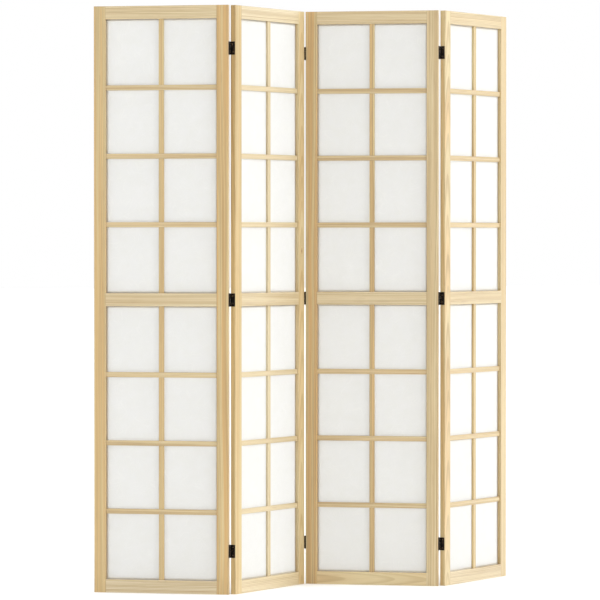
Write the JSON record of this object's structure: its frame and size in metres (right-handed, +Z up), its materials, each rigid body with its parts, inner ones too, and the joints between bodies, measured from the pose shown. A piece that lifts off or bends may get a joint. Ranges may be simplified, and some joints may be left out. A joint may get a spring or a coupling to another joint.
{
  "type": "folding screen",
  "caption": "Free-standing folding screen of hinged softwood panels, each with a narrow lattice over white translucent paper, standing in a zigzag.",
  "frame": {"origin": "on the floor, in the middle of the standing screen's outline", "axes": "+Z up; +X along the screen to the viewer's right; -Y towards the viewer, so that the ridges of the first and last folds point to -Y"},
  "size_m": [1.3416, 0.2472, 1.7],
  "materials": {
    "pine_frame": "planed, satin",
    "pine_lattice": "planed, satin",
    "beech_dowel": "raw",
    "washi_paper": "matt, translucent",
    "black_steel": "black, satin"
  },
  "bodies": {
    "panel_1": {"panel_1_left_stile": "pine_frame", "panel_1_right_stile": "pine_frame", "panel_1_top_rail": "pine_frame", "panel_1_middle_rail": "pine_frame", "panel_1_bottom_rail": "pine_frame", "panel_1_centre_bars": "pine_lattice", "panel_1_crossbars": "pine_lattice", "panel_1_upper_paper": "washi_paper", "panel_1_lower_paper": "washi_paper", "panel_1_beads": "pine_lattice", "panel_1_dowels": "beech_dowel", "panel_1_hinge_screws": "black_steel", "hinge_12_left_leaves": "black_steel", "hinge_12_pins": "black_steel"},
    "panel_2": {"panel_2_left_stile": "pine_frame", "panel_2_right_stile": "pine_frame", "panel_2_top_rail": "pine_frame", "panel_2_middle_rail": "pine_frame", "panel_2_bottom_rail": "pine_frame", "panel_2_centre_bars": "pine_lattice", "panel_2_crossbars": "pine_lattice", "panel_2_upper_paper": "washi_paper", "panel_2_lower_paper": "washi_paper", "panel_2_beads": "pine_lattice", "panel_2_dowels": "beech_dowel", "panel_2_hinge_screws": "black_steel", "hinge_12_right_leaves": "black_steel", "hinge_23_left_leaves": "black_steel", "hinge_23_pins": "black_steel"},
    "panel_3": {"panel_3_left_stile": "pine_frame", "panel_3_right_stile": "pine_frame", "panel_3_top_rail": "pine_frame", "panel_3_middle_rail": "pine_frame", "panel_3_bottom_rail": "pine_frame", "panel_3_centre_bars": "pine_lattice", "panel_3_crossbars": "pine_lattice", "panel_3_upper_paper": "washi_paper", "panel_3_lower_paper": "washi_paper", "panel_3_beads": "pine_lattice", "panel_3_dowels": "beech_dowel", "panel_3_hinge_screws": "black_steel", "hinge_23_right_leaves": "black_steel", "hinge_34_left_leaves": "black_steel", "hinge_34_pins": "black_steel"},
    "panel_4": {"panel_4_left_stile": "pine_frame", "panel_4_right_stile": "pine_frame", "panel_4_top_rail": "pine_frame", "panel_4_middle_rail": "pine_frame", "panel_4_bottom_rail": "pine_frame", "panel_4_centre_bars": "pine_lattice", "panel_4_crossbars": "pine_lattice", "panel_4_upper_paper": "washi_paper", "panel_4_lower_paper": "washi_paper", "panel_4_beads": "pine_lattice", "panel_4_dowels": "beech_dowel", "panel_4_hinge_screws": "black_steel", "hinge_34_right_leaves": "black_steel"}
  },
  "joints": [
    {"name": "fold_12", "type": "hinge", "parent": "panel_2", "child": "panel_1", "pos_m": [-0.33652, -0.10952, 0], "axis": [0, 0, -1], "range_deg": [-72, 108]},
    {"name": "fold_23", "type": "hinge", "parent": "panel_2", "child": "panel_3", "pos_m": [0, 0.10952, 0], "axis": [0, 0, -1], "range_deg": [-72, 108]},
    {"name": "fold_34", "type": "hinge", "parent": "panel_3", "child": "panel_4", "pos_m": [0.33652, -0.10952, 0], "axis": [0, 0, 1], "range_deg": [-72, 108]}
  ]
}
